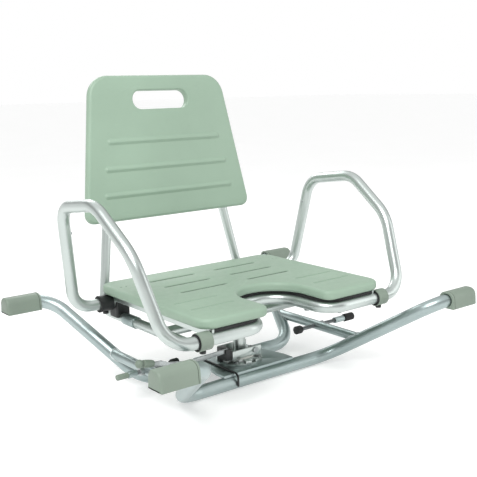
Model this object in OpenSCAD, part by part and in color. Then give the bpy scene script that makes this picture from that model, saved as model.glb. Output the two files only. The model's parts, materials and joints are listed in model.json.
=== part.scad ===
// Swivel bath seat that spans the two rims of a bath.
// Two bent aluminium tubes hang from four rim caps and carry a hub plate.
// A seat with a backrest and two armrest loops turns on the hub and locks every quarter turn.
// Origin: on the swivel axis, level with the underside of the frame rails.
// +X points along the span towards the sitter's left, -Y is the way the sitter faces.
// In names, left and right are as seen from the front, so left is at -X.

/* [Bath frame] */
// Overall span from rim cap end to rim cap end
overall_w = 720; // [700:5:760]
// Height of the bath rim above the underside of the rails
rim_h = 131; // [125:1:140]
// Distance between the front and rear rim caps
rim_spread = 532; // [510:2:540]
// Outer diameter of the long frame tubes
frame_tube_d = 25.4; // [24:0.2:26]
// Half length of the straight rail in the middle of each frame tube
rail_half_l = 181; // [175:1:185]
// Distance between the two rails
rail_spread = 116; // [112:1:120]
// Distance from the middle to the upper bend of a frame tube
shoulder_x = 266; // [262:1:270]
// Centreline radius of the frame tube bends
frame_bend_r = 60; // [58:1:62]
// Outer diameter of the two cross tubes
cross_tube_d = 19; // [18:0.5:20]
// Distance from the middle to each cross tube
cross_x = 208.5; // [206:0.5:210]

/* [Rim caps] */
// Length of a rim cap
cap_l = 70; // [60:1:80]
// Width of the flat underside of a rim cap
cap_w = 36; // [34:1:40]
// Height of a rim cap
cap_h = 32; // [31:1:36]

/* [Hub] */
// Radius of the index ring
ring_r = 45; // [42:1:48]
// Height of the index ring
ring_h = 8; // [7:0.5:9]
// Number of positions in which the seat locks
lock_count = 4; // [4]
// Diameter of the king pin
king_pin_d = 10; // [9:0.5:11]
// Length of the swivel channel
channel_l = 70; // [66:1:74]
// Width of the swivel channel
channel_w = 50; // [48:1:54]

/* [Seat] */
// Width of the seat board
seat_w = 418; // [410:1:424]
// Front edge of the seat board, measured from the swivel axis
seat_front = 179; // [176:1:182]
// Rear edge of the seat board, measured from the swivel axis
seat_rear = 170; // [166:1:174]
// Height of the seat surface above the bath rim
seat_rise = 54; // [52:1:58]
// Thickness of the seat board
board_t = 18; // [16:1:20]
// Width of the cut-out in the front of the seat board
cutout_w = 134; // [126:2:140]
// Diameter of the seat frame and armrest tubes
seat_tube_d = 22; // [21:0.5:23]

/* [Backrest] */
// Length of the backrest board up its slope
back_l = 290; // [270:2:300]
// Width of the backrest board at its lower edge
back_low_w = 406; // [390:2:420]
// Width of the backrest board at its upper edge
back_top_w = 316; // [300:2:330]
// Lean of the backrest from upright
back_lean = 8.5; // [6:0.5:10]
// Diameter of the back posts
post_d = 19; // [18:0.5:20]

/* [Adjusters] */
// Radius of the left and right pads that bear on the bath wall
pad_r = [5.2, 8.2]; // [4.8:0.2:9]
// Diameter of the adjuster screws
screw_d = 8; // [7:0.5:9]

/* [Hidden] */
$fn = 64;

wall = 1.6;                                  // wall of the seat and cross tubes
frame_wall = 2;                              // wall of the long frame tubes
rail_z = frame_tube_d / 2;                   // height of the rail centreline
rail_y = rail_spread / 2;
rim_y = rim_spread / 2;
cap_tube_z = rim_h + cap_h / 2;              // tube centreline inside a rim cap
tube_end_x = overall_w / 2 - 6;              // end of a frame tube inside its cap
leg_run = [shoulder_x - rail_half_l, rim_y - rail_y, cap_tube_z - rail_z];
cross_t = (cross_x - rail_half_l) / leg_run.x;   // how far up a leg the cross tube joins
cross_y = rail_y + cross_t * leg_run.y;
cross_z = rail_z + cross_t * leg_run.z;

plate_t = 5;
plate_z = frame_tube_d;                      // the plate lies on top of the rails
ring_z = plate_z + plate_t;
washer_t = 1.6;
washer_z = ring_z + ring_h;
channel_z = washer_z + washer_t;
channel_t = 3;
channel_h = 17;
notch_d = 7;
notch_w = 10;
ring_core_r = 31;
ring_flange_t = 3;
lug_half = 22;                               // half angle of the raised lugs at each lock position

seat_tube_z = rim_h + 19;                    // centreline of the seat frame tubes
seat_top = rim_h + seat_rise;
board_z = seat_top - board_t;
collar_x = 207;
tube_reach = collar_x + 12;                  // end of the front and rear seat tubes
front_tube_y = -(seat_front - 8);
rear_tube_y = 147;
side_x = 176;                                // side tubes and lower legs of the back posts
side_z = rim_h - 13;
beam_z = side_z;
column_d = 24;

lean = tan(back_lean);
back_foot_y = 220;                           // post centreline where it passes the seat
back_foot_z = rim_h + 41;
back_low_z = rim_h + 158;                    // lower edge of the backrest board
post_in = 0.18;                              // inward slope of the back posts
post_x0 = side_x;
post_y0 = back_foot_y - lean * (back_foot_z - side_z);
post_top_z = back_low_z + back_l * cos(back_lean) * 0.72;

pivot_x = 20;                                // release lever pivot
pivot_z = channel_z + 10;
lever_y = -15;
lever_yaw = 3;
lever_t = 4;

adjuster_z = cross_z;

frame_alu = [0.78, 0.81, 0.80];
bright_alu = [0.88, 0.90, 0.89];
sage = [0.66, 0.76, 0.67];
dull_sage = [0.47, 0.55, 0.48];
black = [0.10, 0.11, 0.11];
steel = [0.62, 0.64, 0.66];

// ---------- helpers ----------
function unit(v) = v / norm(v);
function flip_x(p) = [-p.x, p.y, p.z];
function turn_half(a, b, c) = (180 - acos(unit(a - b) * unit(c - b))) / 2;
function bend_r(r, i) = is_list(r) ? r[i] : r;
function trim_len(path, r, i) =
  i <= 0 || i >= len(path) - 1 ? 0
    : bend_r(r, i) * tan(turn_half(path[i - 1], path[i], path[i + 1]));

// Straight bar of diameter d from p to q
module rod(p, q, d) {
  v = q - p;
  translate(p)
    rotate([0, acos(v.z / norm(v)), atan2(v.y, v.x)])
      cylinder(h = norm(v), d = d);
}

// Bend of centreline radius r at corner b
module elbow(a, b, c, r, d, bore) {
  u = unit(a - b);
  w = unit(c - b);
  half = turn_half(a, b, c);
  centre = b + unit(u + w) * r / cos(half);
  start = b + u * r * tan(half);
  e1 = unit(start - centre);
  e2 = -u;
  e3 = cross(e1, e2);
  multmatrix([
    [e1.x, e2.x, e3.x, centre.x],
    [e1.y, e2.y, e3.y, centre.y],
    [e1.z, e2.z, e3.z, centre.z]
  ])
    rotate_extrude(angle = 2 * half)
      translate([r, 0])
        difference() {
          circle(d = d);
          if (bore > 0)
            circle(d = bore);
        }
}

// Bar or tube of diameter d and bore along a path. r is one bend radius, or a list with one per point.
// Each straight length runs lap into the bend beside it, which is neck thinner in the wall.
module bent_tube(path, r, d, bore) {
  n = len(path);
  lap = 0.4;
  neck = 0.02;
  for (i = [0 : n - 2]) {
    dir = unit(path[i + 1] - path[i]);
    from = path[i] + dir * (trim_len(path, r, i) - (i > 0 ? lap : 0));
    to = path[i + 1] - dir * (trim_len(path, r, i + 1) - (i < n - 2 ? lap : 0));
    difference() {
      rod(from, to, d);
      if (bore > 0)
        rod(from - dir, to + dir, bore);
    }
  }
  for (i = [1 : n - 2])
    elbow(path[i - 1], path[i], path[i + 1], bend_r(r, i), d - 2 * neck,
          bore > 0 ? bore + 2 * neck : 0);
}

// Straight tube from p to q
module straight_tube(p, q, d, bore) {
  dir = unit(q - p);
  difference() {
    rod(p, q, d);
    rod(p - dir, q + dir, bore);
  }
}

module mirrored_pair() {
  children();
  mirror([1, 0, 0]) children();
}

module bar_x(x0, x1, y, z, d) {
  translate([x0, y, z]) rotate([0, 90, 0]) cylinder(h = x1 - x0, d = d);
}

module rounded_slab(w, l, t, r) {
  linear_extrude(height = t) {
    square([w - 2 * r, l], center = true);
    square([w, l - 2 * r], center = true);
    for (sx = [-1, 1], sy = [-1, 1])
      translate([sx * (w / 2 - r), sy * (l / 2 - r)]) circle(r);
  }
}

// ---------- bath frame ----------
function frame_path(side) = [
  [-tube_end_x, side * rim_y, cap_tube_z],
  [-shoulder_x, side * rim_y, cap_tube_z],
  [-rail_half_l, side * rail_y, rail_z],
  [rail_half_l, side * rail_y, rail_z],
  [shoulder_x, side * rim_y, cap_tube_z],
  [tube_end_x, side * rim_y, cap_tube_z]
];

module frame_tube(side) {
  color(frame_alu)
    bent_tube(frame_path(side), frame_bend_r, frame_tube_d, frame_tube_d - 2 * frame_wall);
}
module front_frame_tube() { frame_tube(-1); }
module rear_frame_tube() { frame_tube(1); }

// Cross tube, coped where it meets the two legs and bored for the adjuster screw
module cross_tube(side) {
  color(frame_alu)
    difference() {
      straight_tube([side * cross_x, -cross_y, cross_z], [side * cross_x, cross_y, cross_z],
                    cross_tube_d, cross_tube_d - 2 * wall);
      for (e = [-1, 1])
        rod([side * rail_half_l, e * rail_y, rail_z], [side * shoulder_x, e * rim_y, cap_tube_z],
            frame_tube_d);
      bar_x(side * cross_x - 12, side * cross_x + 12, 0, adjuster_z, screw_d + 0.1);
    }
}
module left_cross_tube() { cross_tube(-1); }
module right_cross_tube() { cross_tube(1); }

// D-shaped cap with a flat underside, closed at its outer end
module rim_cap(sx, sy) {
  color(dull_sage)
    translate([sx * overall_w / 2, sy * rim_y, rim_h])
      mirror([sx > 0 ? 1 : 0, 0, 0])
        difference() {
          rotate([90, 0, 90])
            linear_extrude(height = cap_l)
              union() {
                translate([0, cap_h / 2]) circle(d = cap_h);
                polygon([[-cap_w / 2, 0], [cap_w / 2, 0], [cap_h / 2, cap_h / 2], [-cap_h / 2, cap_h / 2]]);
              }
          translate([overall_w / 2, -sy * rim_y, -rim_h])
            bent_tube(frame_path(sy), frame_bend_r, frame_tube_d, 0);
        }
}
module rim_cap_front_left() { rim_cap(-1, -1); }
module rim_cap_front_right() { rim_cap(1, -1); }
module rim_cap_rear_left() { rim_cap(-1, 1); }
module rim_cap_rear_right() { rim_cap(1, 1); }

// ---------- hub ----------
module hub_plate() {
  color(frame_alu)
    difference() {
      translate([0, 0, plate_z])
        linear_extrude(height = plate_t)
          polygon([
            [-84, -rail_y - 4], [84, -rail_y - 4], [84, -rail_y + 22], [66, 40],
            [66, rail_y + 4], [-66, rail_y + 4], [-66, 40], [-84, -rail_y + 22]
          ]);
      translate([0, 0, plate_z - 1]) cylinder(h = plate_t + 2, d = king_pin_d);
      ring_screw_holes(plate_z - 1, plate_t + 2, 5);
    }
}

module at_ring_screws() {
  for (i = [0 : 3])
    rotate([0, 0, 45 + 90 * i]) translate([38, 0, 0]) children();
}

module ring_screw_holes(z, h, d) {
  at_ring_screws() translate([0, 0, z]) cylinder(h = h, d = d);
}

// Sector of the ring between its core and its rim, reaching lug_half either way from the X axis
module lug_sector() {
  reach = 2 * ring_r;
  intersection() {
    circle(ring_r);
    polygon([
      [0, 0], [reach, -reach * tan(lug_half)], [reach, reach * tan(lug_half)]
    ]);
  }
}

// Fixed ring with a notch between two raised lugs at each lock position
module index_ring() {
  color(bright_alu)
    difference() {
      union() {
        translate([0, 0, ring_z]) cylinder(h = ring_flange_t, r = ring_r);
        translate([0, 0, ring_z]) cylinder(h = ring_h, r = ring_core_r);
        for (i = [0 : lock_count - 1])
          rotate([0, 0, i * 360 / lock_count])
            translate([0, 0, ring_z]) linear_extrude(height = ring_h) lug_sector();
      }
      translate([0, 0, ring_z - 1]) cylinder(h = ring_h + 2, d = king_pin_d);
      for (i = [0 : lock_count - 1])
        rotate([0, 0, i * 360 / lock_count])
          translate([ring_r - notch_d, -notch_w / 2, ring_z + ring_flange_t])
            cube([notch_d + 1, notch_w, ring_h]);
      ring_screw_holes(ring_z - 1, ring_h + 2, 5);
    }
}

// Four screws with nuts that hold the index ring on the plate
module index_ring_screws() {
  color(steel) {
    ring_screw_holes(plate_z - 5, plate_t + 5 + ring_flange_t, 5);
    ring_screw_holes(ring_z + ring_flange_t, 3.4, 8.4);
    at_ring_screws() translate([0, 0, plate_z - 4]) cylinder(h = 4, r = 4.6, $fn = 6);
  }
}

// Wire strap that lies across the plate and hooks over the front rail
module hub_strap() {
  strap_d = 4;
  strap_x = -60;
  hook_y = rail_y + frame_tube_d / 2 + strap_d / 2 + 0.1;
  top_z = plate_z + plate_t + strap_d / 2;
  color(black)
    bent_tube([
      [strap_x, -hook_y, rail_z - 4], [strap_x, -hook_y, top_z], [strap_x, hook_y - 30, top_z]
    ], 9, strap_d, 0);
}

module king_pin() {
  color(steel) {
    translate([0, 0, plate_z - 7]) cylinder(h = 7, r = 9.2, $fn = 6);
    translate([0, 0, plate_z]) cylinder(h = channel_z + 14 - plate_z, d = king_pin_d);
  }
}

module king_pin_nut() {
  color(steel)
    translate([0, 0, channel_z + channel_t + 0.4])
      difference() {
        cylinder(h = 8, r = 9.2, $fn = 6);
        translate([0, 0, -1]) cylinder(h = 10, d = king_pin_d);
      }
}

module swivel_washer() {
  color([0.92, 0.92, 0.88])
    translate([0, 0, washer_z + 0.1])
      difference() {
        cylinder(h = washer_t - 0.1, r = 29);
        translate([0, 0, -1]) cylinder(h = washer_t + 2, d = king_pin_d + 0.1);
      }
}

// Channel that turns on the king pin and carries the lever
module swivel_channel() {
  color(bright_alu)
    difference() {
      translate([-channel_l / 2, -channel_w / 2, channel_z]) cube([channel_l, channel_w, channel_h]);
      translate([-channel_l / 2 - 1, -channel_w / 2 + channel_t, channel_z + channel_t])
        cube([channel_l + 2, channel_w - 2 * channel_t, channel_h]);
      translate([0, 0, channel_z - 1]) cylinder(h = channel_t + 2, d = king_pin_d + 0.1);
      translate([pivot_x, 0, pivot_z]) rotate([90, 0, 0]) cylinder(h = channel_w, d = 6);
    }
}

// ---------- seat frame ----------
module seat_column() {
  foot = channel_z + channel_t;
  color(bright_alu)
    difference() {
      straight_tube([0, 0, foot], [0, 0, seat_tube_z], column_d, column_d - 4);
      rod([0, -column_d, seat_tube_z], [0, column_d, seat_tube_z], seat_tube_d);
    }
}

// Two beams from the column out to the side tubes
module seat_cross_beams() {
  color(bright_alu)
    mirrored_pair()
      difference() {
        straight_tube([0, 0, beam_z], [side_x, 0, beam_z], post_d, post_d - 2 * wall);
        translate([0, 0, beam_z - post_d]) cylinder(h = 2 * post_d, d = column_d);
        rod([side_x, -20, side_z], [side_x, 20, side_z], post_d);
      }
}

side_tube_start = -100;
side_tube_end = 96;
module side_tube(s) {
  color(bright_alu)
    straight_tube([s * side_x, side_tube_start, side_z], [s * side_x, side_tube_end, side_z],
                  post_d, post_d - 2 * wall);
}
module left_side_tube() { side_tube(-1); }
module right_side_tube() { side_tube(1); }

// Front seat tube, bent round the cut-out
apex_y = -30;
front_bend_x = 74;
front_bend_r = 40;
cut_bend_r = 60;
board_screws = [
  [-150, rear_tube_y], [-120, rear_tube_y], [120, rear_tube_y], [150, rear_tube_y],
  [-front_bend_x - 2, -112], [front_bend_x + 2, -112]
];
module front_seat_tube() {
  color(bright_alu)
    difference() {
      bent_tube([
        [-tube_reach, front_tube_y, seat_tube_z], [-front_bend_x, front_tube_y, seat_tube_z],
        [-front_bend_x, apex_y, seat_tube_z], [front_bend_x, apex_y, seat_tube_z],
        [front_bend_x, front_tube_y, seat_tube_z], [tube_reach, front_tube_y, seat_tube_z]
      ], [0, front_bend_r, cut_bend_r, cut_bend_r, front_bend_r, 0],
      seat_tube_d, seat_tube_d - 2 * wall);
      board_screw_holes();
    }
}

module rear_seat_tube() {
  color(bright_alu)
    difference() {
      straight_tube([-tube_reach, rear_tube_y, seat_tube_z], [tube_reach, rear_tube_y, seat_tube_z],
                    seat_tube_d, seat_tube_d - 2 * wall);
      board_screw_holes();
    }
}

module board_screw_holes() {
  for (p = board_screws)
    translate([p.x, p.y, seat_tube_z - seat_tube_d]) cylinder(h = 2 * seat_tube_d, d = 5);
}

// Tube along the middle, coped to the front and rear seat tubes
module spine_tube() {
  color(bright_alu)
    difference() {
      straight_tube([0, apex_y, seat_tube_z], [0, rear_tube_y, seat_tube_z],
                    seat_tube_d, seat_tube_d - 2 * wall);
      for (y = [apex_y, rear_tube_y])
        bar_x(-seat_tube_d, seat_tube_d, y, seat_tube_z, seat_tube_d);
    }
}

// Black blocks that join the rear seat tube to the back posts below it
module rear_saddles() {
  w = 29;
  l = 30;
  low = side_z + 2;
  high = board_z - strip_h - 0.5;
  color(black)
    mirrored_pair()
      difference() {
        translate([side_x, rear_tube_y, low]) rounded_slab(w, l, high - low, 4);
        bar_x(side_x - w, side_x + w, rear_tube_y, seat_tube_z, seat_tube_d);
        rod([side_x, rear_tube_y - l, side_z], [side_x, rear_tube_y + l, side_z], post_d);
      }
}

// Flat rail on edge that stands on the front and rear tubes under the side of the board
strip_x = 188;
strip_t = 5;
strip_h = 15;
module board_rail(s) {
  color(bright_alu)
    difference() {
      translate([s * strip_x - strip_t / 2, front_tube_y - 4, board_z - strip_h])
        cube([strip_t, rear_tube_y - front_tube_y + 8, strip_h]);
      for (y = [front_tube_y, rear_tube_y])
        bar_x(s * strip_x - strip_t, s * strip_x + strip_t, y, seat_tube_z, seat_tube_d);
    }
}
module left_board_rail() { board_rail(-1); }
module right_board_rail() { board_rail(1); }

// Flat plan of the rubber strip that follows the front seat tube, set back under the board
spacer_w = 13;
spacer_back = 3.5;                           // offset from the tube centreline
spacer_end = 184;
module quarter_ring(r_in, r_out, sx, sy) {
  intersection() {
    difference() {
      circle(r_out);
      circle(r_in);
    }
    translate([sx > 0 ? 0 : -r_out, sy > 0 ? 0 : -r_out]) square(r_out);
  }
}
module front_spacer_plan() {
  side_run = front_bend_x + spacer_back - spacer_w / 2;
  front_run = front_tube_y + spacer_back - spacer_w / 2;
  apex_run = apex_y + spacer_back - spacer_w / 2;
  bend_y = front_tube_y + front_bend_r;
  cut_bend_y = apex_y - cut_bend_r;
  for (m = [0, 1])
    mirror([m, 0]) {
      translate([front_bend_x + front_bend_r, front_run])
        square([spacer_end - front_bend_x - front_bend_r, spacer_w]);
      translate([front_bend_x + front_bend_r, bend_y])
        quarter_ring(bend_y - front_run - spacer_w, bend_y - front_run, -1, -1);
      translate([side_run, bend_y]) square([spacer_w, cut_bend_y - bend_y]);
      translate([front_bend_x - cut_bend_r, cut_bend_y])
        quarter_ring(apex_run - cut_bend_y, apex_run - cut_bend_y + spacer_w, 1, 1);
      translate([0, apex_run]) square([front_bend_x - cut_bend_r, spacer_w]);
    }
}

// Rubber strips between the seat tubes and the board
module seat_spacers() {
  low = seat_tube_z + seat_tube_d / 2;
  color(black)
    difference() {
      translate([0, 0, low])
        linear_extrude(height = board_z - low) {
          front_spacer_plan();
          for (s = [-1, 1])
            translate([s * 142, rear_tube_y]) square([84, spacer_w], center = true);
        }
      board_screw_holes();
    }
}

// ---------- seat board ----------
slot_w = 6;
slot_rows = [110, 56, 2];
groove_rows = [-60, -110];

module stadium(x0, x1, y, w) {
  translate([x0 + w / 2, y]) circle(d = w);
  translate([x1 - w / 2, y]) circle(d = w);
  translate([x0 + w / 2, y - w / 2]) square([x1 - x0 - w, w]);
}

// Seat outline: rounded rectangle with a horseshoe cut-out at the front
module seat_outline(inset) {
  lip = 20 - inset;
  half = seat_w / 2 - inset;
  front = -seat_front + inset;
  rear = seat_rear - inset;
  corner = 28 - inset;
  cut = cutout_w / 2 + inset;
  arc_y = -40 - cutout_w / 2;
  difference() {
    union() {
      translate([-half + corner, front]) square([2 * (half - corner), rear - front]);
      translate([-half, front + corner]) square([2 * half, rear - front - 2 * corner]);
      for (sx = [-1, 1], y = [front + corner, rear - corner])
        translate([sx * (half - corner), y]) circle(corner);
    }
    translate([0, arc_y]) circle(cut);
    translate([-cut, front - 1]) square([2 * cut, arc_y - front + 1]);
    // rounded lips at the mouth
    for (m = [0, 1])
      mirror([m, 0])
        difference() {
          translate([cut - 1, front - 2]) square([lip + 1, lip + 2]);
          translate([cut + lip, front + lip]) circle(lip);
        }
  }
}

module seat_board() {
  edge = 5;
  color(sage)
    difference() {
      union() {
        translate([0, 0, board_z]) linear_extrude(height = board_t - edge) seat_outline(0);
        for (i = [0 : 1])
          translate([0, 0, board_z + board_t - edge + i * edge / 2])
            linear_extrude(height = edge / 2) seat_outline([1.2, 3.6][i]);
      }
      for (y = slot_rows, s = [-1, 1])
        translate([0, 0, board_z - 1]) linear_extrude(height = board_t + 2)
          mirror([s > 0 ? 0 : 1, 0]) stadium(25, 130, y, slot_w);
      for (y = groove_rows, s = [-1, 1])
        translate([0, 0, seat_top - 2]) linear_extrude(height = 3)
          mirror([s > 0 ? 0 : 1, 0]) stadium(96, 184, y, slot_w);
      for (p = board_screws)
        translate([p.x, p.y, board_z - 1]) cylinder(h = 11, d = 5);
    }
}

// Screws that come up through the seat tubes into the board
module seat_board_screws() {
  low = seat_tube_z - seat_tube_d / 2;
  color(steel)
    for (p = board_screws)
      translate([p.x, p.y, 0]) {
        translate([0, 0, low - 3]) cylinder(h = 3, d = 10);
        translate([0, 0, low - 1]) cylinder(h = board_z + 10 - low, d = 5);
      }
}

// ---------- armrests ----------
arm_start = tube_reach + 1.4;                // clear of the end of the seat tube
arm_path = [
  [arm_start, front_tube_y, seat_tube_z], [272, -167, seat_tube_z + 2],
  [294, -109, rim_h + 161], [301, -9, rim_h + 233],
  [299, 118, rim_h + 217], [272, rear_tube_y, seat_tube_z + 2],
  [arm_start, rear_tube_y, seat_tube_z]
];
arm_bend_r = [0, 52, 95, 60, 44, 40, 0];

module armrest(s) {
  path = [for (p = arm_path) s > 0 ? p : flip_x(p)];
  color(bright_alu)
    difference() {
      bent_tube(path, arm_bend_r, seat_tube_d, seat_tube_d - 2 * wall);
      mirrored_pair() button_shape();
    }
}
module armrest_left() { armrest(-1); }
module armrest_right() { armrest(1); }

// Snap button through the inner side of a rear upright
button_z = rim_h + 167;
module button_shape() {
  translate([290, 124, button_z]) rotate([0, -90, 0]) cylinder(h = 10, d = 5);
}
module armrest_buttons() { color(steel) mirrored_pair() button_shape(); }

collar_w = 24;
collar_d = 31;
module collar_pair(y) {
  for (s = [-1, 1])
    translate([s * collar_x, y, seat_tube_z]) rotate([0, -90, 0]) children();
}
module clamp_collars(y) {
  collar_pair(y)
    difference() {
      translate([0, 0, -collar_w / 2]) cylinder(h = collar_w, d = collar_d);
      translate([0, 0, -collar_w]) cylinder(h = 2 * collar_w, d = seat_tube_d);
      rotate([0, -90, 0]) cylinder(h = collar_d, d = 6);
    }
}
module front_collars() { color(dull_sage) clamp_collars(front_tube_y); }
module rear_collars() { color(black) clamp_collars(rear_tube_y); }

// Rubber ring against the side of each collar, thicker at the rear
ring_t = [1.2, 3];
ring_d = [collar_d - 2, collar_d + 1];
module collar_rings() {
  color(black)
    for (i = [0, 1])
      collar_pair([front_tube_y, rear_tube_y][i])
        difference() {
          translate([0, 0, collar_w / 2]) cylinder(h = ring_t[i], d = ring_d[i]);
          cylinder(h = collar_w, d = seat_tube_d + 0.4);
        }
}

// Clamp screws below the collars
module collar_screws() {
  head_h = 5;
  low = seat_tube_z - collar_d / 2;
  color(black)
    for (s = [-1, 1], y = [front_tube_y, rear_tube_y])
      translate([s * collar_x, y, low]) {
        translate([0, 0, -head_h]) cylinder(h = head_h, d = 11);
        translate([0, 0, -1]) cylinder(h = (collar_d - seat_tube_d) / 2 + 1, d = 6);
      }
}

// ---------- backrest ----------
function post_at(z) = [
  post_x0 - post_in * (z - side_z), post_y0 + lean * (z - side_z), z
];
module back_post(s) {
  path = [[post_x0, side_tube_end + 1, side_z], [post_x0, post_y0, side_z], post_at(post_top_z)];
  color(bright_alu)
    difference() {
      bent_tube([for (p = path) s > 0 ? p : flip_x(p)], 34, post_d, post_d - 2 * wall);
      each_back_screw() translate([0, 0, -2 * post_d]) cylinder(h = 3 * post_d, d = 5);
    }
}
module left_back_post() { back_post(-1); }
module right_back_post() { back_post(1); }

module back_post_sleeves() {
  color(frame_alu)
    mirrored_pair()
      straight_tube([side_x, side_tube_end - 12, side_z], [side_x, side_tube_end + 28, side_z],
                    post_d + 4, post_d);
}

// Local frame of the backrest board: x across, y up the slope, z towards the sitter
module on_back() {
  p = post_at(back_low_z);
  translate([0, p.y - post_d / 2 / cos(back_lean), back_low_z])
    rotate([90 - back_lean, 0, 0]) children();
}

module back_outline(inset) {
  low = back_low_w / 2 - inset;
  high = back_top_w / 2 - inset;
  top = back_l - inset;
  taper = (back_low_w - back_top_w) / 2 / back_l;
  r_low = 18 - inset;
  r_top = 46 - inset;
  slant = sqrt(1 + taper * taper);
  low_c = low - r_low * (slant + taper);
  top_c = high - r_top * (slant - taper);
  difference() {
    polygon([[-low, inset], [low, inset], [high, top], [-high, top]]);
    for (s = [-1, 1]) {
      // cut each corner back to its rounding
      difference() {
        polygon([
          [s * low_c, inset - 1], [s * (low + 2), inset - 1],
          [s * (low + 2), inset + r_low + taper * r_low], [s * low_c, inset + r_low]
        ]);
        translate([s * low_c, inset + r_low]) circle(r_low);
      }
      difference() {
        polygon([
          [s * top_c, top + 1], [s * (high + 60), top + 1],
          [s * (high + 60), top - r_top + taper * (high + 60 - top_c)], [s * top_c, top - r_top]
        ]);
        translate([s * top_c, top - r_top]) circle(r_top);
      }
    }
  }
}

rib_rows = [50, 104, 157];
module backrest_board() {
  t = 18;
  edge = 5;
  color(sage)
    difference() {
      on_back()
        union() {
          linear_extrude(height = t - edge) back_outline(0);
          for (i = [0 : 1])
            translate([0, 0, t - edge + i * edge / 2])
              linear_extrude(height = edge / 2) back_outline([1.2, 3.6][i]);
          for (i = [0 : 2]) {
            half = 162 - 10 * i;
            translate([0, rib_rows[i], t - 1.8])
              rotate([0, 90, 0])
                translate([0, 0, -half]) cylinder(h = 2 * half, r = 4.6);
          }
        }
      on_back()
        translate([0, 0, -1]) linear_extrude(height = t + 8)
          stadium(-67, 67, back_l - 50, 38);
      each_back_screw() translate([0, 0, -1]) cylinder(h = 8, d = 5);
    }
}

module each_back_screw() {
  for (s = [-1, 1], k = [0.18, 0.58]) {
    z = back_low_z + back_l * k;
    on_back() translate([s * post_at(z).x, (z - back_low_z) / cos(back_lean), 0]) children();
  }
}

// Screws that pass through the posts into the board
module backrest_screws() {
  color(steel)
    each_back_screw() {
      translate([0, 0, -post_d - 3]) cylinder(h = 3, d = 10);
      translate([0, 0, -post_d - 1]) cylinder(h = post_d + 7, d = 5);
    }
}

// ---------- release lever ----------
module at_lever() {
  translate([pivot_x, lever_y, pivot_z]) rotate([0, 0, lever_yaw]) children();
}
grip_in = [-233, 26.5];
grip_out = [-270, 34];

// Flat bar on edge, x runs away from the hub and z up, measured from the pivot
module lever_blank() {
  at_lever()
    translate([0, lever_t / 2, 0])
      rotate([90, 0, 0])
        linear_extrude(height = lever_t)
          polygon([
            [6, -4.5], [6, 4.5], [-45, 4.5], [-63, 14], [-157, 13], [-198, 20], [-215, 27.5],
            [-233, 29], [-261, 34.5], [-261, 28.5], [-235, 22.5], [-219, 18.5], [-199, 12],
            [-157, 4], [-73, 6], [-53, -4.5]
          ]);
}
module release_lever() {
  color(steel)
    difference() {
      lever_blank();
      translate([pivot_x, 0, pivot_z]) rotate([90, 0, 0]) cylinder(h = channel_w, d = 6.1);
    }
}

// Plastic grip with a ball end
module release_grip() {
  run = grip_out - grip_in;
  color(dull_sage)
    difference() {
      at_lever()
        translate([grip_in.x, 0, grip_in.y])
          rotate([0, atan2(run.y, -run.x) - 90, 0])
            rotate_extrude()
              polygon(concat(
                [[0, 0], [5.5, 0], [6.6, 4], [7.2, 16], [6.8, 22]],
                [for (a = [-50 : 14 : 90]) [7.8 * cos(a), 29.5 + 7.8 * sin(a)]]
              ));
      lever_blank();
    }
}

// Bolt that hangs from the lever and drops into a notch of the ring
module latch_bolt() {
  side_gap = 0.4;
  tongue_w = notch_w - 2 * side_gap;
  color(black)
    difference() {
      union() {
        translate([-50, -24, washer_z + 3]) cube([14, 29, 22]);
        translate([-50, -tongue_w / 2, ring_z + ring_flange_t + 0.5])
          cube([11.4, tongue_w, ring_h + 2]);
      }
      lever_blank();
    }
}

module lever_pivot_screw() {
  color(steel) {
    translate([pivot_x, -channel_w / 2, pivot_z]) rotate([90, 0, 0]) cylinder(h = 3.2, d = 12);
    translate([pivot_x, -channel_w / 2, pivot_z]) rotate([-90, 0, 0]) cylinder(h = 17, d = 6);
    translate([pivot_x, lever_y + lever_t / 2 + 0.6, pivot_z])
      rotate([-90, 0, 0]) cylinder(h = 4.5, r = 5.6, $fn = 6);
  }
}

// ---------- width adjusters ----------
// Distances from the middle along the span, for the left and for the right adjuster
function pick(s, pair) = s < 0 ? pair[0] : pair[1];
screw_in = [147, 151];                       // inner and outer ends of the adjuster screws
screw_out = [246, 276];
ferrule_in = [232, 258];                     // inner ends of the ferrules
ferrule_l = [17, 27];
pad_in = [249, 287];                         // inner and outer ends of the pads
pad_out = [272, 313];
pad_foot = 9;                                // depth of the ferrule stem inside a pad
stem_r = 3.4;
module adjuster_screw(s) {
  ends = [s * pick(s, screw_in), s * pick(s, screw_out)];
  color(steel)
    bar_x(min(ends), max(ends), 0, adjuster_z, screw_d);
}
module left_adjuster_screw() { adjuster_screw(-1); }
module right_adjuster_screw() { adjuster_screw(1); }

module adjuster_knob(s) {
  color(black)
    translate([s * (pick(s, screw_in) - 3), 0, adjuster_z])
      rotate([0, s * 90, 0])
        difference() {
          union() {
            cylinder(h = 13, r = 8.2);
            translate([0, 0, 13]) cylinder(h = 4, r1 = 8.2, r2 = 6);
          }
          translate([0, 0, 3]) cylinder(h = 20, d = screw_d);
          for (i = [0 : 5])
            rotate([0, 0, 60 * i]) translate([9.4, 0, -1]) cylinder(h = 15, r = 2);
        }
}
module left_adjuster_knob() { adjuster_knob(-1); }
module right_adjuster_knob() { adjuster_knob(1); }

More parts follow.
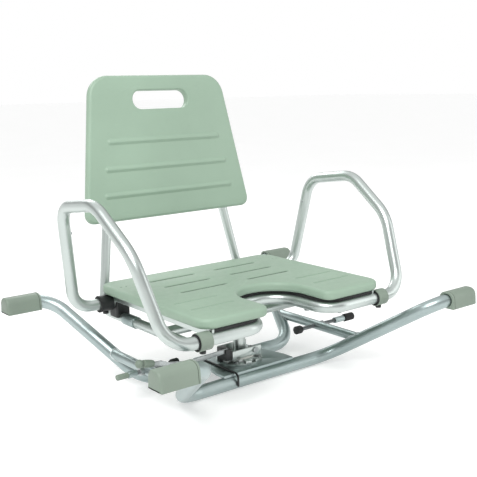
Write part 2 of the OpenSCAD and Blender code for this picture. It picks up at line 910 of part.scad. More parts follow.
// Ferrule on the end of the screw, in which the screw turns freely, with a stem for the pad
module adjuster_ferrule(s) {
  l = pick(s, ferrule_l);
  stem_l = pick(s, pad_in) + pad_foot - pick(s, ferrule_in);
  socket_l = pick(s, screw_out) - pick(s, ferrule_in);
  color(frame_alu)
    translate([s * pick(s, ferrule_in), 0, adjuster_z])
      rotate([0, s * 90, 0])
        difference() {
          union() {
            cylinder(h = l, r = 6.4);
            cylinder(h = stem_l, r = stem_r);
          }
          translate([0, 0, -1]) cylinder(h = socket_l + 1.4, d = screw_d + 0.1);
        }
}
module left_adjuster_ferrule() { adjuster_ferrule(-1); }
module right_adjuster_ferrule() { adjuster_ferrule(1); }

// Pad that bears on the bath wall, with a bevelled outer edge
module adjuster_pad(s) {
  r = pick(s, pad_r);
  l = pick(s, pad_out) - pick(s, pad_in);
  color(pick(s, [dull_sage, black]))
    translate([s * pick(s, pad_in), 0, adjuster_z])
      rotate([0, s * 90, 0])
        difference() {
          union() {
            cylinder(h = l - 1.2, r = r);
            translate([0, 0, l - 1.2]) cylinder(h = 1.2, r1 = r, r2 = r - 1.2);
          }
          translate([0, 0, -1]) cylinder(h = pad_foot + 1, r = stem_r);
        }
}
module left_adjuster_pad() { adjuster_pad(-1); }
module right_adjuster_pad() { adjuster_pad(1); }

// Nuts fixed to the outer sides of the cross tubes, in which the screws turn
module adjuster_nuts() {
  nut_h = 7;
  color(steel)
    mirrored_pair()
      translate([cross_x, 0, adjuster_z])
        rotate([0, 90, 0])
          difference() {
            cylinder(h = cross_tube_d / 2 + nut_h, r = 7.4, $fn = 6);
            translate([0, 0, -1]) cylinder(h = cross_tube_d + nut_h, d = screw_d + 0.1);
            rotate([90, 0, 0]) translate([0, 0, -cross_tube_d]) cylinder(h = 2 * cross_tube_d, d = cross_tube_d);
          }
}

front_frame_tube();
rear_frame_tube();
left_cross_tube();
right_cross_tube();
rim_cap_front_left();
rim_cap_front_right();
rim_cap_rear_left();
rim_cap_rear_right();
hub_plate();
index_ring();
index_ring_screws();
hub_strap();
king_pin();
king_pin_nut();
swivel_washer();
swivel_channel();
seat_column();
seat_cross_beams();
left_side_tube();
right_side_tube();
front_seat_tube();
rear_seat_tube();
spine_tube();
rear_saddles();
left_board_rail();
right_board_rail();
seat_spacers();
seat_board();
seat_board_screws();
armrest_left();
armrest_right();
armrest_buttons();
front_collars();
rear_collars();
collar_rings();
collar_screws();
left_back_post();
right_back_post();
back_post_sleeves();
backrest_board();
backrest_screws();
release_lever();
release_grip();
latch_bolt();
lever_pivot_screw();
left_adjuster_screw();
right_adjuster_screw();
left_adjuster_knob();
right_adjuster_knob();
left_adjuster_pad();
right_adjuster_pad();
left_adjuster_ferrule();
right_adjuster_ferrule();
adjuster_nuts();
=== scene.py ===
import json
import math

import bmesh
import bpy
from mathutils import Matrix, Vector

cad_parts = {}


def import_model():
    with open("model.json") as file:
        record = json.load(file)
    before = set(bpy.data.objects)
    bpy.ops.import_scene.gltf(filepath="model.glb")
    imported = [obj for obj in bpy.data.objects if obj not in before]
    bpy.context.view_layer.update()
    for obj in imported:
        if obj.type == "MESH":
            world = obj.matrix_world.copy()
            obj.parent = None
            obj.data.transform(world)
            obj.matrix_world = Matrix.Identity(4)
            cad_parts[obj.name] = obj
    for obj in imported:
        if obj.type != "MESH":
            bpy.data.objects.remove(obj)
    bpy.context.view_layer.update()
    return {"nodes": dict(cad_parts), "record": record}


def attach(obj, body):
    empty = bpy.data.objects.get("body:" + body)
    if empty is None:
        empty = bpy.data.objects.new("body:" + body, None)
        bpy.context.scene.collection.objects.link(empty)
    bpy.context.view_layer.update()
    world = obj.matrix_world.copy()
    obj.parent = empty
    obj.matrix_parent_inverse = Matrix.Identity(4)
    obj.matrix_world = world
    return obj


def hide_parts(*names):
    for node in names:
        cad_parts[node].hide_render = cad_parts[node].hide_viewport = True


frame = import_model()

MM = 0.001
NODES = frame["nodes"]
RECORD = frame["record"]
BODY_OF = {n: b for b, ns in RECORD["behaviour"]["bodies"].items() for n in ns}
SLOT_OF = {s["node"]: s["material_slot"] for s in RECORD["subparts"]}
SCENE = bpy.context.scene


# ---------------------------------------------------------------- materials
METAL_SHADE_REACH = 0.03      # metres; painted shade: crevices in metal pieces up to this wide are darkened
PLASTIC_SHADE_REACH = 0.016   # metres; the same painted shade for plastic pieces


class Shader:
    """A node material with helpers for the few patterns used below."""

    def __init__(self, name):
        self.mat = bpy.data.materials.new(name)
        self.mat.use_nodes = True
        self.nodes = self.mat.node_tree.nodes
        self.links = self.mat.node_tree.links
        self.bsdf = self.nodes["Principled BSDF"]
        self.coord = self.nodes.new("ShaderNodeTexCoord").outputs["Object"]

    def plug(self, output, socket):
        self.links.new(output, socket)
        return socket

    def mapping(self, scale=(1, 1, 1), rotation=(0, 0, 0)):
        n = self.nodes.new("ShaderNodeMapping")
        n.inputs["Scale"].default_value = scale
        n.inputs["Rotation"].default_value = rotation
        self.plug(self.coord, n.inputs["Vector"])
        return n.outputs["Vector"]

    def noise(self, scale, detail=3.0, rough=0.55, vector=None, distortion=0.0):
        n = self.nodes.new("ShaderNodeTexNoise")
        n.inputs["Scale"].default_value = scale
        n.inputs["Detail"].default_value = detail
        n.inputs["Roughness"].default_value = rough
        n.inputs["Distortion"].default_value = distortion
        self.plug(vector or self.coord, n.inputs["Vector"])
        return n.outputs["Fac"]

    def span(self, value, low, high, to_low, to_high):
        n = self.nodes.new("ShaderNodeMapRange")
        n.inputs["From Min"].default_value = low
        n.inputs["From Max"].default_value = high
        n.inputs["To Min"].default_value = to_low
        n.inputs["To Max"].default_value = to_high
        self.plug(value, n.inputs["Value"])
        return n.outputs["Result"]

    def math(self, kind, a, b):
        n = self.nodes.new("ShaderNodeMath")
        n.operation = kind
        for socket, v in zip(n.inputs, (a, b)):
            if isinstance(v, (int, float)):
                socket.default_value = v
            else:
                self.plug(v, socket)
        return n.outputs["Value"]

    def mix(self, fac, a, b):
        n = self.nodes.new("ShaderNodeMix")
        n.data_type = "RGBA"
        self.plug(fac, n.inputs[0])
        for socket, v in ((n.inputs[6], a), (n.inputs[7], b)):
            if isinstance(v, tuple):
                socket.default_value = v + (1.0,)
            else:
                self.plug(v, socket)
        return n.outputs[2]

    def bump(self, height, distance, strength=1.0, under=None):
        n = self.nodes.new("ShaderNodeBump")
        n.inputs["Distance"].default_value = distance
        n.inputs["Strength"].default_value = strength
        self.plug(height, n.inputs["Height"])
        if under is not None:
            self.plug(under, n.inputs["Normal"])
        return n.outputs["Normal"]

    def edges(self, low=0.51, high=0.60):
        n = self.nodes.new("ShaderNodeNewGeometry")
        return self.span(n.outputs["Pointiness"], low, high, 0.0, 1.0)

    def painted_shade_mask(self, reach, low=0.25, high=0.85):
        """Mask for painted shade: 1 in a piece's own slots and crevices no wider than reach, 0 on its open
        surfaces.
        """
        n = self.nodes.new("ShaderNodeAmbientOcclusion")
        n.samples = 8
        n.only_local = True
        n.inputs["Distance"].default_value = reach
        return self.span(n.outputs["AO"], low, high, 1.0, 0.0)

    def set(self, **values):
        for key, v in values.items():
            socket = self.bsdf.inputs[key.replace("_", " ")]
            if isinstance(v, (int, float)):
                socket.default_value = v
            elif isinstance(v, tuple):
                socket.default_value = v + (1.0,)
            else:
                self.plug(v, socket)
        return self.mat


def aluminium(name, tone, dull, rough):
    """Satin anodised tube: faint drawing lines, rubbed patches, water marks and hairline scratches, with
    painted shade in its own crevices.
    """
    s = Shader(name)
    cloud = s.noise(7, 3, 0.5)
    patch = s.noise(26, 4, 0.55, distortion=0.4)
    grain = s.noise(1400, 2, 0.5)
    scratch = s.span(s.noise(55, 2, 0.5, s.mapping((1, 14, 3), (0.4, 0.2, 0.9))), 0.64, 0.68, 0, 1)
    mark = s.math("MULTIPLY", s.span(patch, 0.58, 0.74, 0, 1), s.span(cloud, 0.45, 0.65, 0, 1))
    colour = s.mix(s.span(cloud, 0.35, 0.65, 0, 1), tone, dull)
    colour = s.mix(s.math("MULTIPLY", mark, 0.25), colour, tuple(c * 0.8 for c in tone))
    colour = s.mix(s.math("MULTIPLY", scratch, 0.15), colour, tuple(min(1, c * 1.2) for c in tone))
    # painted shade: the piece's own crevices, slots and tube bores are darkened
    crevice_shade = s.math("MULTIPLY", s.painted_shade_mask(METAL_SHADE_REACH, 0.2, 0.8), 0.8)
    colour = s.mix(crevice_shade, colour, tuple(c * 0.06 for c in tone))
    r = s.math("ADD", s.span(patch, 0.3, 0.7, rough - 0.02, rough + 0.03), s.math("MULTIPLY", mark, 0.06))
    n = s.bump(s.math("ADD", grain, s.math("MULTIPLY", scratch, -0.4)), 0.00002, 0.15)
    return s.set(Base_Color=colour, Metallic=0.94, Roughness=r, Normal=n)


def steel(name, tone, rough, rust=0.0):
    """Zinc-plated steel with spangle, handling marks and, where asked for, spots of rust."""
    s = Shader(name)
    cloud = s.noise(60, 4, 0.6)
    v = s.nodes.new("ShaderNodeTexVoronoi")
    v.inputs["Scale"].default_value = 420
    s.plug(s.coord, v.inputs["Vector"])
    spangle = s.span(v.outputs["Color"], 0, 1, 0, 1)
    colour = s.mix(s.span(cloud, 0.35, 0.7, 0, 1), tone, tuple(c * 0.7 for c in tone))
    colour = s.mix(s.math("MULTIPLY", spangle, 0.25), colour, tuple(min(1, c * 1.25) for c in tone))
    if rust:
        spot = s.span(s.noise(150, 6, 0.7), 0.64, 0.74, 0, rust)
        colour = s.mix(spot, colour, (0.20, 0.10, 0.05))
    r = s.span(cloud, 0.3, 0.7, rough - 0.08, rough + 0.12)
    n = s.bump(s.noise(1500, 3, 0.5), 0.00005, 0.4)
    return s.set(Base_Color=colour, Metallic=0.95, Roughness=r, Normal=n)


def threaded(name, tone, pitch):
    """Steel rod along X whose thread shows as fine ridges, darker in the roots."""
    s = Shader(name)
    w = s.nodes.new("ShaderNodeTexWave")
    w.wave_type = "BANDS"
    w.bands_direction = "X"
    w.inputs["Scale"].default_value = 0.314 / pitch
    s.plug(s.coord, w.inputs["Vector"])
    ridge = w.outputs["Fac"]
    cloud = s.noise(120, 3)
    # the thread roots are drawn darker than the crests
    colour = s.mix(s.span(ridge, 0.15, 0.7, 0, 1), tuple(c * 0.18 for c in tone), tone)
    colour = s.mix(s.span(cloud, 0.45, 0.7, 0, 0.5), colour, tuple(c * 0.5 for c in tone))
    n = s.bump(ridge, 0.0006, 1.0)
    return s.set(Base_Color=colour, Metallic=0.9, Roughness=s.span(cloud, 0.3, 0.7, 0.25, 0.45), Normal=n)


def plastic(name, tone, rough, grain, depth, mottle=0.10, scuff=0.3):
    """Moulded plastic: leather-like grain, slow colour drift, scuffs, edges rubbed lighter, and painted shade
    in its own slots and crevices.
    """
    s = Shader(name)
    drift = s.noise(5, 3, 0.5)
    fleck = s.noise(70, 6, 0.7)
    pebble = s.nodes.new("ShaderNodeTexVoronoi")
    pebble.feature = "SMOOTH_F1"
    pebble.inputs["Scale"].default_value = grain
    s.plug(s.coord, pebble.inputs["Vector"])
    fine = s.noise(grain * 1.7, 3, 0.6)
    scratch = s.span(s.noise(16, 3, 0.6, s.mapping((1, 9, 5), (0.1, 0.3, 0.5)), 0.8), 0.66, 0.70, 0, 1)
    light = tuple(min(1, c * (1 + mottle)) for c in tone)
    dark = tuple(c * (1 - mottle) for c in tone)
    colour = s.mix(s.span(drift, 0.35, 0.65, 0, 1), dark, light)
    colour = s.mix(s.span(fleck, 0.58, 0.75, 0, 0.25), colour, tuple(c * 0.86 for c in tone))
    colour = s.mix(s.math("MULTIPLY", s.edges(), scuff), colour, tuple(min(1, c * 1.25 + 0.03) for c in tone))
    colour = s.mix(s.math("MULTIPLY", scratch, 0.12), colour, tuple(min(1, c * 1.3) for c in tone))
    # painted shade: the piece's own slots and crevices are darkened
    crevice_shade = s.math("MULTIPLY", s.painted_shade_mask(PLASTIC_SHADE_REACH, 0.25, 0.85), 0.9)
    colour = s.mix(crevice_shade, colour, tuple(c * 0.10 for c in tone))
    r = s.math("ADD", s.span(fleck, 0.3, 0.7, rough - 0.06, rough + 0.08), s.math("MULTIPLY", scratch, 0.10))
    relief = s.math("ADD", pebble.outputs["Distance"], s.math("MULTIPLY", fine, 0.4))
    n = s.bump(relief, depth, 0.5)
    n = s.bump(scratch, -0.00002, 0.5, n)
    return s.set(Base_Color=colour, Roughness=r, Normal=n, Specular_IOR_Level=0.42)


def rubber(name, tone):
    """Matt rubber with a pitted surface and pale dust."""
    s = Shader(name)
    pit = s.noise(900, 4, 0.6)
    dust = s.span(s.noise(42, 5, 0.65), 0.5, 0.75, 0, 0.35)
    colour = s.mix(dust, tone, tuple(c * 2.4 + 0.02 for c in tone))
    colour = s.mix(s.math("MULTIPLY", s.edges(), 0.4), colour, tuple(c * 3 + 0.02 for c in tone))
    n = s.bump(pit, 0.00015, 0.5)
    r = s.span(pit, 0.3, 0.7, 0.62, 0.82)
    return s.set(Base_Color=colour, Roughness=r, Normal=n, Specular_IOR_Level=0.35)


def weld_metal(name):
    s = Shader(name)
    ripple = s.noise(700, 3, 0.6)
    colour = s.mix(s.span(s.noise(180, 3), 0.35, 0.65, 0, 1), (0.62, 0.66, 0.66), (0.42, 0.46, 0.46))
    return s.set(Base_Color=colour, Metallic=0.9, Roughness=s.span(ripple, 0.3, 0.7, 0.35, 0.55),
                 Normal=s.bump(ripple, 0.0002, 0.6))


MATERIALS = {
    "frame_aluminium": aluminium("frame_aluminium", (0.40, 0.47, 0.465), (0.34, 0.41, 0.405), 0.36),
    "bright_aluminium": aluminium("bright_aluminium", (0.55, 0.60, 0.58), (0.50, 0.55, 0.53), 0.32),
    "sage_plastic": plastic("sage_plastic", (0.262, 0.362, 0.278), 0.43, 1500, 0.00009, 0.05, 0.22),
    "dull_sage_plastic": plastic("dull_sage_plastic", (0.185, 0.232, 0.188), 0.46, 1300, 0.00010, 0.07, 0.3),
    "black_plastic": plastic("black_plastic", (0.012, 0.014, 0.014), 0.40, 1100, 0.00010, 0.15, 0.2),
    "black_rubber": rubber("black_rubber", (0.012, 0.013, 0.013)),
    "blackened_steel": plastic("blackened_steel", (0.012, 0.014, 0.014), 0.34, 2200, 0.00005, 0.2, 0.5),
    "plain_steel": steel("plain_steel", (0.40, 0.43, 0.43), 0.33, 0.25),
    "white_nylon": plastic("white_nylon", (0.72, 0.72, 0.68), 0.5, 1800, 0.00004, 0.04, 0.1),
}
SCREW_STEEL = threaded("screw_steel", (0.36, 0.38, 0.39), 2 * MM)
WELD = weld_metal("weld_metal")


# ---------------------------------------------------------------- mesh tools
def add(name, mesh, material, body, stands_for=()):
    obj = bpy.data.objects.new(name, mesh)
    SCENE.collection.objects.link(obj)
    mesh.materials.clear()
    mesh.materials.append(material)
    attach(obj, body)
    for node in stands_for:
        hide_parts(node)
    return obj


def mesh_from(name, bm, angle=38):
    mesh = bpy.data.meshes.new(name)
    bmesh.ops.recalc_face_normals(bm, faces=bm.faces)
    bm.to_mesh(mesh)
    bm.free()
    mesh.shade_smooth()
    mesh.set_sharp_from_angle(angle=math.radians(angle))
    return mesh


def bake(obj):
    """The mesh of obj with its modifiers applied; obj itself is removed."""
    deps = bpy.context.evaluated_depsgraph_get()
    mesh = bpy.data.meshes.new_from_object(obj.evaluated_get(deps))
    bpy.data.objects.remove(obj)
    return mesh


def loose(name, mesh):
    obj = bpy.data.objects.new(name, mesh)
    SCENE.collection.objects.link(obj)
    return obj


def refined(node, bevel=0.0, angle=38, material=None):
    """A copy of a CAD node with welded vertices, softened edges and smooth shading."""
    src = NODES[node].data
    bm = bmesh.new()
    verts = [bm.verts.new(v.co) for v in src.vertices]
    for poly in src.polygons:
        try:
            bm.faces.new([verts[i] for i in poly.vertices])
        except ValueError:
            continue
    bmesh.ops.remove_doubles(bm, verts=bm.verts, dist=2e-6)
    bmesh.ops.dissolve_degenerate(bm, edges=bm.edges, dist=1e-7)
    if bevel:
        bmesh.ops.dissolve_limit(bm, angle_limit=math.radians(1.0), verts=bm.verts, edges=bm.edges)
    mesh = mesh_from("m_" + node, bm, angle)
    if bevel:
        obj = loose("tmp_" + node, mesh)
        mod = obj.modifiers.new("soften", "BEVEL")
        mod.width = bevel
        mod.segments = 3
        mod.limit_method = "ANGLE"
        mod.angle_limit = math.radians(38)
        mod.use_clamp_overlap = True
        mesh = bake(obj)
        mesh.shade_smooth()
        mesh.set_sharp_from_angle(angle=math.radians(angle))
    slot = SLOT_OF[node]
    return add("v_" + node, mesh, material or MATERIALS[slot], BODY_OF[node], (node,))


def arc(cx, cy, r, a0, a1, n):
    return [(cx + r * math.cos(math.radians(a0 + (a1 - a0) * i / n)),
             cy + r * math.sin(math.radians(a0 + (a1 - a0) * i / n))) for i in range(n + 1)]


def rounded(corners, n=14):
    """Points of a closed outline whose corners (x, y, r) are rounded to their radii."""
    out = []
    for i, (x, y, r) in enumerate(corners):
        p = Vector((x, y))
        u = (Vector(corners[i - 1][:2]) - p).normalized()
        w = (Vector(corners[(i + 1) % len(corners)][:2]) - p).normalized()
        if r == 0:
            out.append((x, y))
            continue
        half = u.angle(w) / 2
        centre = p + (u + w).normalized() * r / math.sin(half)
        a = p + u * r / math.tan(half) - centre
        b = p + w * r / math.tan(half) - centre
        turn = a.angle_signed(b)
        for k in range(n + 1):
            c, s = math.cos(-turn * k / n), math.sin(-turn * k / n)
            out.append((centre.x + a.x * c - a.y * s, centre.y + a.x * s + a.y * c))
    return out


def slab(name, outline, thickness, radius, steps=5):
    """A board from an outline in millimetres, z from 0 to thickness, with its edges rounded to radius."""
    curve = bpy.data.curves.new(name, "CURVE")
    curve.dimensions = "2D"
    curve.fill_mode = "BOTH"
    curve.extrude = (thickness / 2 - radius) * MM
    curve.bevel_depth = radius * MM
    curve.bevel_resolution = steps
    curve.offset = -radius * MM
    spline = curve.splines.new("POLY")
    spline.points.add(len(outline) - 1)
    for p, (x, y) in zip(spline.points, outline):
        p.co = (x * MM, y * MM, 0, 1)
    spline.use_cyclic_u = True
    obj = loose(name, curve)
    mesh = bake(obj)
    mesh.transform(Matrix.Translation((0, 0, thickness / 2 * MM)))
    bm = bmesh.new()
    bm.from_mesh(mesh)
    bmesh.ops.remove_doubles(bm, verts=bm.verts, dist=1e-6)
    return mesh_from(name, bm)


def stadium(cx, cy, half, grow, n=14):
    """Outline of a slot along X: straight half length half, end radius grow."""
    return arc(cx + half, cy, grow, -90, 90, n) + arc(cx - half, cy, grow, 90, 270, n)


def loft(bm, rings, close=True):
    """Skins a list of rings, each a list of 3-D points of the same length."""
    made = [[bm.verts.new(p) for p in ring] for ring in rings]
    for a, b in zip(made, made[1:]):
        for i in range(len(a)):
            j = (i + 1) % len(a)
            bm.faces.new((a[i], a[j], b[j], b[i]))
    if close:
        bm.faces.new(list(reversed(made[0])))
        bm.faces.new(made[-1])


def slot_stack(bm, cx, cy, half, levels):
    """A slot-shaped plug. levels is a list of (z, end radius) in millimetres."""
    loft(bm, [[Vector((x, y, z)) * MM for x, y in stadium(cx, cy, half, r)] for z, r in levels])


def cut(mesh, bm):
    """mesh less the closed plugs in bm."""
    tool = loose("tmp_tool", mesh_from("tmp_tool", bm))
    obj = loose("tmp_cut", mesh)
    mod = obj.modifiers.new("cut", "BOOLEAN")
    mod.operation = "DIFFERENCE"
    mod.solver = "EXACT"
    mod.object = tool
    result = bake(obj)
    bpy.data.objects.remove(tool)
    result.shade_smooth()
    result.set_sharp_from_angle(angle=math.radians(32))
    return result


def joined(name, meshes, angle=38):
    bm = bmesh.new()
    for m in meshes:
        bm.from_mesh(m)
    return mesh_from(name, bm, angle)


def rim_levels(top, radius, depth, flare, steps=6):
    """Levels for a slot with a flared upper rim, from depth below the surface to just above it."""
    out = [(top - depth, radius)]
    for i in range(steps + 1):
        a = math.pi / 2 * i / steps
        out.append((top - flare + flare * math.sin(a), radius + flare * (1 - math.cos(a))))
    out.append((top + 1, radius + flare))
    return out


# ---------------------------------------------------------------- seat board
RIM_H = 131
SEAT_TOP = RIM_H + 54
BOARD_T = 18
BOARD_Z = SEAT_TOP - BOARD_T


def seat_outline():
    hw, front, rear, cw, lip = 209, -179, 170, 67, 20
    left = rounded([(0, rear, 0), (-hw, rear, 28), (-hw, front, 28), (-cw, front, lip), (-cw, -107, 0)])[1:]
    back_arc = arc(0, -40 - cw, cw, 180, 0, 36)[1:-1]
    return left + back_arc + [(-x, y) for x, y in reversed(left)]


def seat_board():
    mesh = slab("m_seat_board", seat_outline(), BOARD_T, 6.5)
    bm = bmesh.new()
    for y in (110, 56, 2):
        for side in (-1, 1):
            slot_stack(bm, side * 77.5, y, 49.5, [(-2, 3)] + rim_levels(BOARD_T, 3.2, 12, 2.6))
    for side in (-1, 1):
        for y in (-60, -110):
            slot_stack(bm, side * 140, y, 42, [(BOARD_T - 1.8, 0.7), (BOARD_T - 1.4, 2.0), (BOARD_T - 0.4, 3.3),
                                               (BOARD_T + 1, 4.0)])
        for x in (181, 192):
            slot_stack(bm, side * x, 110, 0.01,
                       [(BOARD_T - 1.2, 0.8), (BOARD_T - 0.5, 2.0), (BOARD_T + 1, 2.8)])
    mesh = cut(mesh, bm)
    mesh.transform(Matrix.Translation((0, 0, BOARD_Z * MM)))
    add("v_seat_board", mesh, MATERIALS["sage_plastic"], "seat", ("seat_board",))


# ---------------------------------------------------------------- backrest
LEAN = math.radians(8.5)
BACK_L = 290
BACK_T = 18
BACK_Z = RIM_H + 158


def back_frame():
    """Matrix from the backrest's own frame (x across, y up the slope, z to the sitter) to the row frame."""
    foot_y = 220 - math.tan(LEAN) * (RIM_H + 41 - (RIM_H - 13))
    y = foot_y + math.tan(LEAN) * (BACK_Z - (RIM_H - 13)) - 9.5 / math.cos(LEAN)
    return Matrix.Translation((0, y * MM, BACK_Z * MM)) @ Matrix.Rotation(math.pi / 2 - LEAN, 4, "X")


def backrest():
    low, high = 203, 158
    outline = rounded([(-low, 0, 18), (low, 0, 18), (high, BACK_L, 46), (-high, BACK_L, 46)])
    mesh = slab("m_backrest", outline, BACK_T, 6.5)
    bm = bmesh.new()
    rim = 3.5
    levels = [(-1, 19 + rim)]
    for i in range(7):
        a = math.pi / 2 * i / 6
        levels.append((rim - rim * math.cos(a), 19 + rim * (1 - math.sin(a))))
    for i in range(7):
        a = math.pi / 2 * i / 6
        levels.append((BACK_T - rim + rim * math.sin(a), 19 + rim * (1 - math.cos(a))))
    levels.append((BACK_T + 1, 19 + rim))
    slot_stack(bm, 0, BACK_L - 50, 48, levels)
    mesh = cut(mesh, bm)
    ribs = bmesh.new()
    for y, half in ((51.4, 159), (103.5, 151), (157.7, 139)):
        steps = 9
        width = 7.6
        rings = []
        for i in range(steps):
            d = 1 - i / steps
            rings.append((BACK_T - 0.05 + 3.3 * 0.5 * (1 + math.cos(math.pi * d)), max(width * d, 0.15)))
        slot_stack(ribs, 0, y, half - width, rings)
    rib_mesh = mesh_from("tmp_ribs", ribs, 60)
    whole = joined("m_backrest_board", [mesh, rib_mesh], 34)
    whole.transform(back_frame())
    add("v_backrest_board", whole, MATERIALS["sage_plastic"], "seat", ("backrest_board",))


# ---------------------------------------------------------------- rim caps
def rim_cap(node, sx, sy):
    """Cap with a flat foot, a domed top, a rounded outer end and a lip round the tube mouth."""
    half_w, h, length = 18, 32, 70

    def section(grow):
        r = 13.5
        pts = arc(half_w - 2.2, 2.2, 2.2 + grow, -90, 0, 5)
        pts += arc(16 - r + 0.6, h - r, r + grow, 8, 90, 12)
        pts += [(-x, y) for x, y in reversed(pts)]
        return [(x, max(y, 0.0)) for x, y in pts]

    def ring(x, grow):
        return [Vector((x, y, z)) * MM for y, z in section(grow)]

    bm = bmesh.new()
    rings = []
    for i in range(6):
        a = math.pi / 2 * i / 5
        rings.append(ring(4 * (1 - math.cos(a)), -4 * (1 - math.sin(a))))
    rings += [ring(12, 0), ring(40, 0), ring(length - 5, 0), ring(length - 4.6, -0.8), ring(length - 4.0, -0.8),
              ring(length - 3.6, 0), ring(length - 1, 0), ring(length, -1)]
    loft(bm, rings)
    mesh = mesh_from("tmp_cap", bm, 30)
    bore = bmesh.new()
    circle = [[Vector((x, 12.7 * math.cos(a), 16 + 12.7 * math.sin(a))) * MM
               for a in [2 * math.pi * k / 48 for k in range(48)]] for x in (12, length + 2)]
    loft(bore, circle)
    mesh = cut(mesh, bore)
    place = Matrix.Translation((sx * 360 * MM, sy * 266 * MM, RIM_H * MM))
    if sx > 0:
        place = place @ Matrix.Diagonal((-1, 1, 1, 1))
    mesh.transform(place)
    if sx > 0:
        mesh.flip_normals()
    add("v_" + node, mesh, MATERIALS["dull_sage_plastic"], "bath_frame", (node,))


# ---------------------------------------------------------------- small extras
def weld(name, foot, axis, radius, main_point, main_axis, main_radius, body, bead=1.5):
    """A rippled weld bead where a tube of that radius meets a larger or equal one, in millimetres."""
    d = Vector(axis).normalized()
    m = Vector(main_axis).normalized()
    u = d.orthogonal().normalized()
    w = d.cross(u)
    q = Vector(main_point)
    ring = []
    count = 72
    for k in range(count):
        a = 2 * math.pi * k / count
        p = Vector(foot) + (u * math.cos(a) + w * math.sin(a)) * (radius + 0.2)
        rel = p - q
        rel -= m * rel.dot(m)
        dd = d - m * d.dot(m)
        aa, bb, cc = dd.dot(dd), 2 * rel.dot(dd), rel.dot(rel) - (main_radius + 0.2) ** 2
        disc = max(bb * bb - 4 * aa * cc, 0.0)
        t = (-bb - math.sqrt(disc)) / (2 * aa)
        ring.append(p + d * t)
    curve = bpy.data.curves.new(name, "CURVE")
    curve.dimensions = "3D"
    curve.bevel_depth = bead * MM
    curve.bevel_resolution = 3
    spline = curve.splines.new("POLY")
    spline.points.add(count - 1)
    for k, (pt, p) in enumerate(zip(spline.points, ring)):
        pt.co = (*(p * MM), 1)
        pt.radius = 1 + 0.14 * math.sin(k * 2 * math.pi / 3) + 0.08 * math.sin(k * 1.7)
    spline.use_cyclic_u = True
    mesh = bake(loose("tmp_" + name, curve))
    mesh.shade_smooth()
    add(name, mesh, WELD, body)


LEG_LOW = Vector((181, 58, 12.7))
LEG_HIGH = Vector((266, 266, 147))
CROSS_T = (208.5 - 181) / (266 - 181)
CROSS = LEG_LOW.lerp(LEG_HIGH, CROSS_T)

seat_board()
backrest()
for fy, sy in (("front", -1), ("rear", 1)):
    for fx, sx in (("left", -1), ("right", 1)):
        rim_cap(f"rim_cap_{fy}_{fx}", sx, sy)

for fx, sx in (("left", -1), ("right", 1)):
    for fy, sy in (("front", -1), ("rear", 1)):
        low = Vector((sx * LEG_LOW.x, sy * LEG_LOW.y, LEG_LOW.z))
        high = Vector((sx * LEG_HIGH.x, sy * LEG_HIGH.y, LEG_HIGH.z))
        weld(f"weld_cross_{fy}_{fx}", (sx * CROSS.x, 0, CROSS.z), (0, sy, 0), 9.5,
             low, high - low, 12.7, "bath_frame")
    weld(f"weld_beam_{fx}", (0, 0, 118), (sx, 0, 0), 9.5, (sx * 176, 0, 118), (0, 1, 0), 9.7, "seat", 1.2)
weld("weld_spine_rear", (0, 0, 150), (0, 1, 0), 11, (0, 147, 150), (1, 0, 0), 11.2, "seat", 1.3)

SOFT_EDGES = {
    "hub_plate": 0.8, "swivel_channel": 0.7, "index_ring": 0.5, "latch_bolt": 0.8, "release_lever": 0.6,
    "front_collars": 1.0, "rear_collars": 1.0, "rear_saddles": 1.6, "seat_spacers": 0.8, "collar_screws": 0.8,
    "collar_rings": 0.7, "back_post_sleeves": 0.6, "left_board_rail": 0.7, "right_board_rail": 0.7,
    "left_adjuster_knob": 0.7, "right_adjuster_knob": 0.7,
    "left_adjuster_pad": 0.6, "right_adjuster_pad": 0.6,
    "left_adjuster_ferrule": 0.5, "right_adjuster_ferrule": 0.5, "adjuster_nuts": 0.4, "king_pin_nut": 0.3,
    "backrest_screws": 0.4, "seat_board_screws": 0.4,
}
DONE = {"seat_board", "backrest_board", "rim_cap_front_left", "rim_cap_front_right", "rim_cap_rear_left",
        "rim_cap_rear_right"}
for node in sorted(NODES):
    if node in DONE:
        continue
    special = SCREW_STEEL if node in ("left_adjuster_screw", "right_adjuster_screw") else None
    refined(node, SOFT_EDGES.get(node, 0.0) * MM, material=special)


# ---------------------------------------------------------------- stage, light and camera
def floor():
    bm = bmesh.new()
    bmesh.ops.create_grid(bm, x_segments=2, y_segments=2, size=30)
    mesh = mesh_from("floor", bm)
    mesh.transform(Matrix.Translation((0, 0, -0.0005)))
    s = Shader("studio_paper")
    tone = s.mix(s.span(s.noise(2.5, 3), 0.3, 0.7, 0, 1), (0.66, 0.665, 0.66), (0.69, 0.69, 0.69))
    s.set(Base_Color=tone, Roughness=s.span(s.noise(300, 3), 0.3, 0.7, 0.85, 0.95), Specular_IOR_Level=0.1,
          Normal=s.bump(s.noise(800, 3), 0.0001, 0.2), Emission_Color=(1.0, 1.0, 1.0), Emission_Strength=0.42)
    obj = loose("floor", mesh)
    mesh.materials.append(s.mat)


def area(name, at, target, size, power, tint=(1, 1, 1)):
    data = bpy.data.lights.new(name, "AREA")
    data.shape = "RECTANGLE"
    data.size, data.size_y = size
    data.energy = power
    data.color = tint
    obj = bpy.data.objects.new(name, data)
    SCENE.collection.objects.link(obj)
    way = Vector(target) - Vector(at)
    obj.matrix_world = Matrix.Translation(at) @ way.to_track_quat("-Z", "Y").to_matrix().to_4x4()


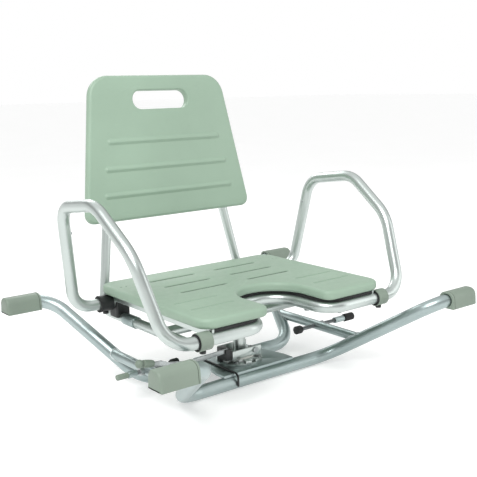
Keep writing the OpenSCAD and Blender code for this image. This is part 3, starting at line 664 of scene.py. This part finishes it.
def world():
    w = bpy.data.worlds.new("studio")
    SCENE.world = w
    w.use_nodes = True
    nodes, links = w.node_tree.nodes, w.node_tree.links
    coord = nodes.new("ShaderNodeTexCoord")
    split = nodes.new("ShaderNodeSeparateXYZ")
    ramp = nodes.new("ShaderNodeValToRGB")
    links.new(coord.outputs["Generated"], split.inputs[0])
    links.new(split.outputs["Z"], ramp.inputs["Fac"])
    stops = ((0.0, 1.0), (0.17, 1.0), (0.30, 0.42), (0.52, 0.40), (0.72, 1.0), (1.0, 1.0))
    cr = ramp.color_ramp
    while len(cr.elements) < len(stops):
        cr.elements.new(0.5)
    for e, (pos, v) in zip(cr.elements, stops):
        e.position = pos
        e.color = (v, v, v, 1)
    back = nodes["Background"]
    links.new(ramp.outputs["Color"], back.inputs["Color"])
    back.inputs["Strength"].default_value = 1.0


def camera():
    """The camera of the reference view, worked out from mirrored points on the object."""
    az, el, roll = (math.radians(v) for v in (-37.95, 10.60, -1.177))
    ahead = Vector((-math.sin(az) * math.cos(el), math.cos(az) * math.cos(el), -math.sin(el)))
    right = Vector((math.cos(az), math.sin(az), 0))
    up = right.cross(ahead)
    r2 = right * math.cos(roll) + up * math.sin(roll)
    u2 = -right * math.sin(roll) + up * math.cos(roll)
    data = bpy.data.cameras.new("camera")
    data.sensor_width = 36
    data.lens = 61.57
    data.clip_end = 100
    obj = bpy.data.objects.new("camera", data)
    SCENE.collection.objects.link(obj)
    at = Vector((-0.9324, -1.2007, 0.5524))
    obj.matrix_world = Matrix((
        (r2.x, u2.x, -ahead.x, at.x),
        (r2.y, u2.y, -ahead.y, at.y),
        (r2.z, u2.z, -ahead.z, at.z),
        (0, 0, 0, 1)))
    SCENE.camera = obj


floor()
world()
area("key", (-1.3, -1.0, 2.1), (0, 0, 0.2), (1.3, 1.3), 46)
area("fill", (1.8, -1.6, 1.0), (0, 0, 0.25), (1.2, 1.6), 9)
area("back", (0.4, 2.0, 1.6), (0, 0, 0.3), (1.6, 0.8), 16)
camera()
SCENE.view_settings.view_transform = "Standard"
